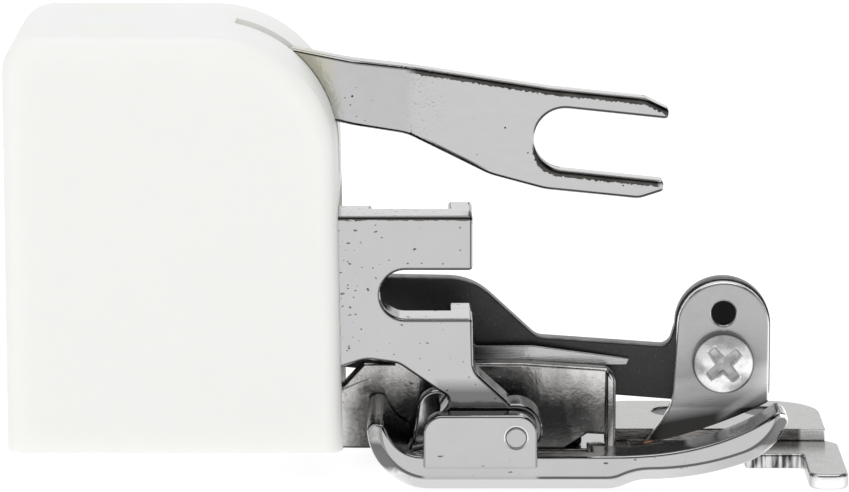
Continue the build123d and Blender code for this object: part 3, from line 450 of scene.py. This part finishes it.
# Screws: small machine screws, cold headed and bright nickel plated.
# The knife's has a domed pan head and the cover's two are flush, with a cross recess whose arms
# taper and grow shallow outwards. The spring's and the guide plate's are plain.
def cross_screws(node, name, body, heads, outward, turn, head, dome, below):
    """Screws with their heads' crowns at those places, all in millimetres. Below the rim each one
    follows an outline of (radius, depth under the crown)."""
    around = 144
    rings = 36
    crisp = math.radians(50)
    arm_reach = 0.66 * head
    recess_depth = 0.40 * head
    arm_half = 0.33
    arm_taper = 0.10
    wall_run = 0.07
    end_run = 0.10
    outward = Vector(outward)
    side = Vector((1, 0, 0))
    across = outward.cross(side)

    def recess(radius, angle):
        u = abs(radius * math.cos(angle - math.radians(turn)))
        v = abs(radius * math.sin(angle - math.radians(turn)))
        along = max(u, v) / arm_reach
        aside = min(u, v) / arm_reach
        wall = (arm_half - arm_taper * along - aside) / wall_run
        end = (1 - along) / end_run
        return recess_depth * (1 - 0.5 * along) * min(max(min(wall, end), 0), 1)

    def spot(centre, radius, angle, depth):
        flat = math.cos(angle) * side + math.sin(angle) * across
        return shape.verts.new((Vector(centre) + radius * flat - depth * outward) * millimetre)

    angles = [2 * math.pi * step / around for step in range(around)]
    shape = bmesh.new()
    for centre in heads:
        middle = spot(centre, 0, 0, recess(0, 0))
        loops = []
        for step in range(1, rings + 1):
            radius = head * step / rings
            depth = dome * (radius / head) ** 2
            loops.append([spot(centre, radius, angle, depth + recess(radius, angle)) for angle in angles])
        for radius, depth in below:
            loops.append([spot(centre, radius, angle, depth) for angle in angles])
        for i in range(around):
            shape.faces.new((middle, loops[0][i - 1], loops[0][i]))
            for inner, outer in zip(loops, loops[1:]):
                shape.faces.new((inner[i - 1], outer[i - 1], outer[i], inner[i]))
        shape.faces.new(loops[-1])
    bmesh.ops.recalc_face_normals(shape, faces=shape.faces)
    for face in shape.faces:
        face.smooth = True
    for edge in shape.edges:
        edge.smooth = edge.calc_face_angle() < crisp
    return stand_in(shape, name, node, body)


pan_crown = (25.2, 9.2, -7.6)
pan_radius = 2.45
pan_dome = 0.825
pan_height = 1.5
shank_radius = 1.25
blade_screw = cross_screws("knife_screw", "blade_screw", "knife", [pan_crown], (0, -1, 0),
                           turn=40, head=pan_radius, dome=pan_dome,
                           below=[(pan_radius, pan_height), (shank_radius, pan_height), (shank_radius, 4.0)])
flush_crowns = [(-23.0, 3.1, -12.1), (-23.0, 13.5, -12.1)]
flush_radius = 1.9
shell_screws = cross_screws("cover_screws", "shell_screws", "frame", flush_crowns, (0, 0, -1),
                            turn=20, head=flush_radius, dome=0, below=[(1.0, 0.9), (1.0, 6.2)])

nickel = Finish("nickel_screw", Metallic=0.7)
tumbled = nickel.noise(2.2, 3.0)
dim = nickel.between(nickel.noise(1.1, 2.0), 0.52, 0.66)
from_middle = nickel.from_line((pan_crown[0], pan_crown[2]))
crown_curve = pan_dome / pan_radius ** 2
under_crown = nickel.axis("Y") - pan_crown[1] - crown_curve * from_middle * from_middle
# Painted shade in the cross recess of the pan head.
recess_shade = nickel.between(under_crown, 0.08, 0.70)
shine = nickel.mix(dim, grey(0.98), grey(0.78))
shine = nickel.mix(0.6 * recess_shade, shine, grey(0.28))
# Painted shade: a dark line round the rim of the pan head.
head_rim_shade = nickel.band(from_middle, 2.34, 2.46, 0.08)
nickel.set(Base_Color=nickel.mix(0.85 * head_rim_shade, shine, grey(0.06)))
nickel.set(Roughness=0.22 + 0.14 * tumbled)
nickel.relief(tumbled, 0.014)
nickel.dress(blade_screw, shell_screws, nodes["spring_screw"], nodes["guide_screws"])


# Presser sole: a small zinc casting, tumbled smooth and bright plated, hung on its pin.
# A chamfer runs along its lower edge, with a crease above it that carries a painted dark reflection
# except under the ear, where handling leaves a few dark scuffs. The chamfer and the sole's ends carry
# painted highlights.
sole = rounded_copy("presser_sole", "hinged_sole", "sole", radius=0.22, crease=30)
shoe = Finish("plated_sole", Metallic=1.0)
lengthwise = shoe.axis("X")
forward = shoe.slope("X")
sideways = abs(shoe.slope("Y"))
upward = shoe.slope("Z")

under_ear = shoe.band(lengthwise, 1.6, 10.0, 0.4)
# Painted reflection: a dark line along the crease above the chamfer and round the lower turns at both ends;
# the scuffs are wear.
crease = shoe.between(sideways, 0.35, 0.60) * shoe.band(upward, -0.48, -0.20, 0.09) * (1 - 0.9 * under_ear)
end_turn = shoe.band(abs(forward), 0.30, 0.60, 0.12) * shoe.between(upward, -0.45, -0.25)
scuffs = shoe.between(shoe.noise(1.5, 2.0, shoe.stretched((0.6, 1, 1.8))), 0.70, 0.74)
scuffs = scuffs * shoe.band(shoe.axis("Z"), -13.4, -12.2, 0.5)
dark_reflections_and_scuffs = shoe.most(crease, 0.6 * end_turn, scuffs)

silver = shoe.mix(shoe.noise(0.4, 3.0), grey(0.455), grey(0.500))
# Painted reflection: the top of the toe is drawn darker.
toe_top = shoe.between(upward, 0.5, 0.8) * shoe.band(lengthwise, 22.5, 27.0, 1.5)
silver = shoe.mix(0.45 * toe_top, silver, grey(0.15, 0.04))
# Painted highlight: the chamfer is drawn lighter.
chamfer_highlight = shoe.band(upward, -0.82, -0.66, 0.06) * shoe.between(lengthwise, 26, 20)
silver = shoe.mix(chamfer_highlight, silver, grey(0.64))
# Painted highlights on the end faces of the toe and the heel.
toe_end = shoe.between(forward, 0.45, 0.65) * shoe.between(lengthwise, 26, 28)
heel_end = shoe.between(forward, -0.20, -0.45) * shoe.between(lengthwise, 1.5, 0.0)
heel_end = heel_end * shoe.between(upward, -0.10, -0.30)
silver = shoe.mix(shoe.most(toe_end, 0.7 * heel_end), silver, grey(0.95))
# Painted highlight: a bright ring round the pin on the ear's face.
pin_line = (8.55, -10.71)
pin_rim_highlight = shoe.between(shoe.from_line(pin_line), 1.35, 1.15) * shoe.between(sideways, 0.985, 0.93)
silver = shoe.mix(pin_rim_highlight, silver, grey(0.90))
shoe.set(Base_Color=shoe.mix(0.85 * dark_reflections_and_scuffs * (1 - pin_rim_highlight), silver, grey(0.05)))
shoe.set(Roughness=0.09 + 0.06 * shoe.noise(0.5, 2.0))
shoe.relief(shoe.noise(0.5, 1.0) + 0.12 * shoe.noise(2.4, 3.0) - 0.4 * scuffs, 0.03)
shoe.dress(sole)


# Studio: a glowing white table, a soft box overhead, one in front and one low behind.
# The room around them is dark, apart from a faint glow low in front, so that plated edges
# mirror it as thin dark lines.
table_half = 2.0
table_glow = 0.88
table = bpy.data.meshes.new("table")
shape = bmesh.new()
bmesh.ops.create_grid(shape, x_segments=1, y_segments=1, size=table_half)
bmesh.ops.translate(shape, verts=shape.verts, vec=(0, 0, solid_box[0][2]))
shape.to_mesh(table)
shape.free()
table_top = bpy.data.objects.new("table_top", table)
bpy.context.scene.collection.objects.link(table_top)
paper = bpy.data.materials.new("white_paper")
paper.use_nodes = True
surface = paper.node_tree.nodes["Principled BSDF"].inputs
surface["Base Color"].default_value = grey(0.3)
surface["Roughness"].default_value = 1.0
surface["Specular IOR Level"].default_value = 0.0
surface["Emission Color"].default_value = grey(1.0)
surface["Emission Strength"].default_value = table_glow
table.materials.append(paper)

room_fill = 0.42
room_mirrored = 0.04
front_glow = 0.60
world = bpy.data.worlds.new("studio")
world.use_nodes = True
room = Wire(world.node_tree)
mirrored = room.node("LightPath", out="Is Glossy Ray")
direction = room.node("TexCoord", out="Generated")
ahead = room.node("SeparateXYZ", {0: direction}, out="Y")
above = room.node("SeparateXYZ", {0: direction}, out="Z")
horizon = room.node("MapRange", {"Value": above, "From Min": 0.52, "From Max": 0.40})
front = room.node("MapRange", {"Value": ahead, "From Min": 0.10, "From Max": -0.20})
seen = room_mirrored + front_glow * horizon * front
backdrop = world.node_tree.nodes["Background"]
room.join(room_fill * (1 - mirrored) + seen * mirrored, backdrop.inputs["Strength"])
backdrop.inputs["Color"].default_value = grey(1.0)
bpy.context.scene.world = world


def soft_box(name, place, width, height, radiance, mirrored=True):
    """Area light of that size in metres, facing the foot, as bright as a surface of that radiance."""
    lamp = bpy.data.lights.new(name, "AREA")
    lamp.shape = "RECTANGLE"
    lamp.size = width
    lamp.size_y = height
    lamp.energy = radiance * math.pi * width * height
    holder = bpy.data.objects.new(name, lamp)
    holder.location = place
    holder.rotation_euler = (-Vector(place)).to_track_quat("-Z", "Y").to_euler()
    holder.visible_camera = False
    holder.visible_glossy = mirrored
    bpy.context.scene.collection.objects.link(holder)


soft_box("overhead", (0.0, 0.10, 0.60), width=0.7, height=0.6, radiance=1.4)
soft_box("front", (-0.15, -0.55, 0.50), width=0.6, height=0.4, radiance=2.4, mirrored=False)
soft_box("behind", (0.0, 0.60, 0.17), width=1.4, height=0.32, radiance=1.0)

camera = bpy.data.cameras.new("camera")
camera.sensor_width = 36.0
camera.lens = 204.0
camera.clip_start = 0.01
holder = bpy.data.objects.new("camera", camera)
holder.location = (0.0015, -0.3625, 0.0743)
holder.rotation_euler = (math.radians(79), 0, 0)
bpy.context.scene.collection.objects.link(holder)
bpy.context.scene.camera = holder
bpy.context.scene.view_settings.view_transform = "Standard"
